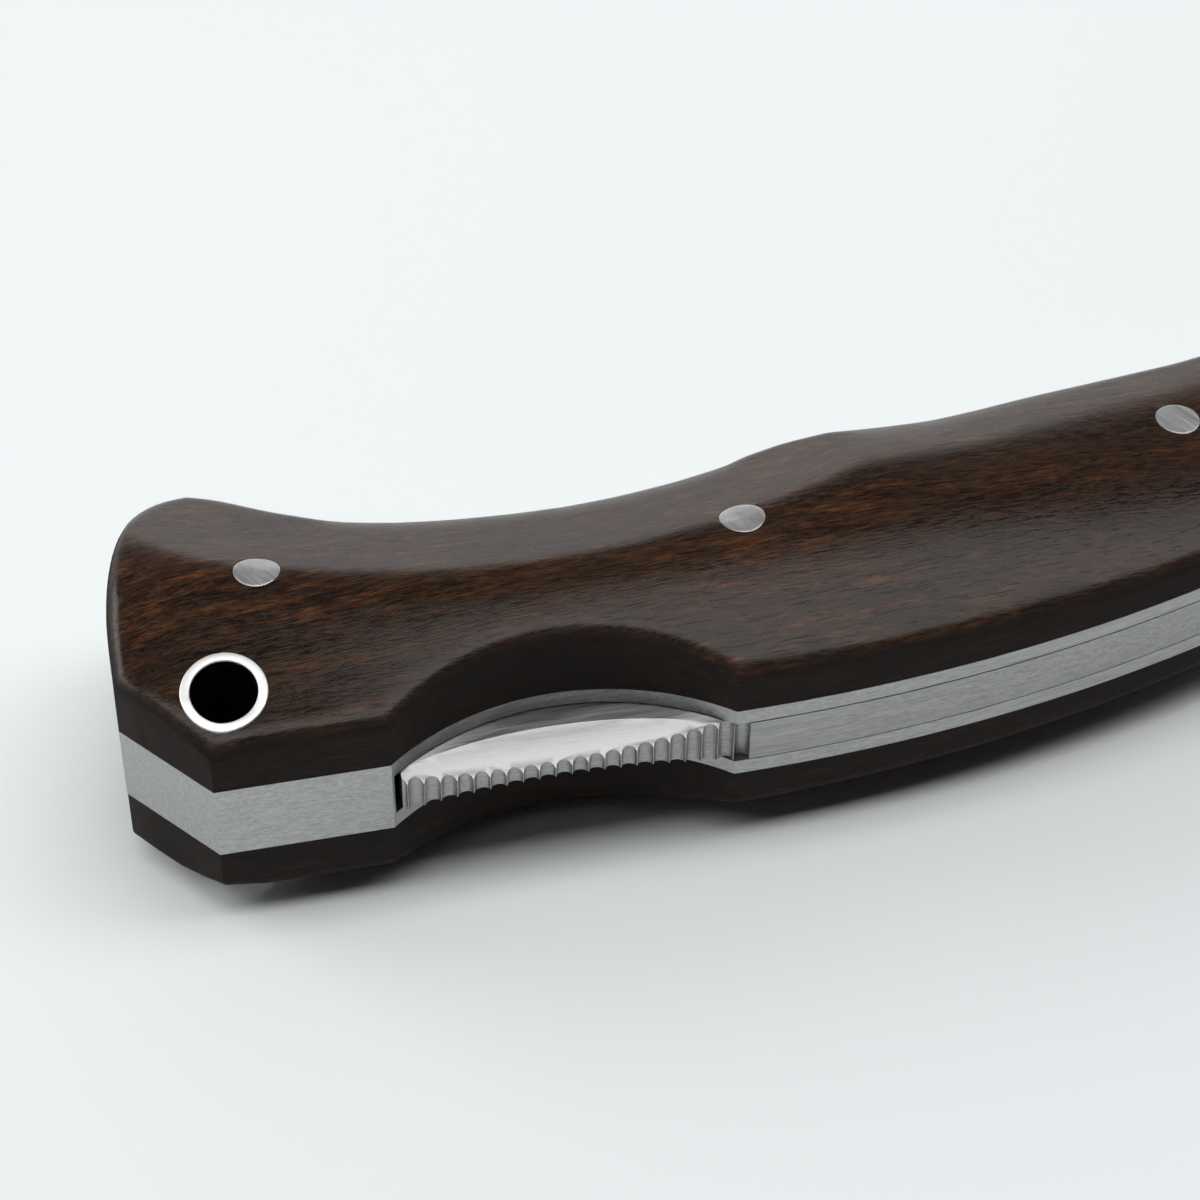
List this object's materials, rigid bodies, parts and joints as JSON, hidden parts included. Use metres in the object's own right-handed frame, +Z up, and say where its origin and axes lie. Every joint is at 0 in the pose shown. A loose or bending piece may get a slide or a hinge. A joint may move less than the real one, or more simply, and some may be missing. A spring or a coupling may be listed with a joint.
{
  "type": "folding pocket knife",
  "caption": "Folding knife with carved wooden scales, steel liners and a back lock worked by a fluted lever in a thumb notch near the butt.",
  "frame": {"origin": "centre of the bounding box's bottom face, with the closed knife lying on its side", "axes": "+X from the butt to the blade pivot, +Y from the back (lock bar) to the belly (blade edge), +Z up through the thickness"},
  "size_m": [0.0996, 0.0282, 0.016],
  "materials": {
    "rosewood": "dark brown close-grained hardwood, oiled and buffed to a low sheen",
    "satin_steel": "lengthwise satin grind",
    "spring_steel": "fine ground spring steel",
    "blade_steel": "fine satin flat grind",
    "polished_steel": "pin stock worked flush and polished",
    "nickel_silver": "bright polished tube",
    "bronze": "plain bearing bronze"
  },
  "bodies": {
    "handle": {"upper_scale": "rosewood", "lower_scale": "rosewood", "upper_liner": "satin_steel", "lower_liner": "satin_steel", "butt_spacer": "satin_steel", "lock_bar_pin": "polished_steel", "lock_spring": "spring_steel", "spring_pin": "polished_steel", "upper_washer": "bronze", "lower_washer": "bronze", "pivot_pin": "polished_steel", "stop_pin": "polished_steel", "lanyard_tube": "nickel_silver", "butt_pin": "polished_steel", "upper_middle_rivet": "polished_steel", "lower_middle_rivet": "polished_steel", "upper_front_rivet": "polished_steel", "lower_front_rivet": "polished_steel"},
    "blade": {"blade": "blade_steel"},
    "lock_bar": {"lock_bar": "satin_steel"}
  },
  "joints": [
    {"name": "blade_pivot", "type": "hinge", "parent": "handle", "child": "blade", "pos_m": [0.04143, -0.00415, 0.008], "axis": [0, 0, -1], "range_deg": [0, 180]},
    {"name": "lock_bar_rock", "type": "hinge", "parent": "handle", "child": "lock_bar", "pos_m": [0.00343, -0.01071, 0.008], "axis": [0, 0, -1], "range_deg": [-2, 3], "stiffness_Nm_per_rad": 1}
  ]
}
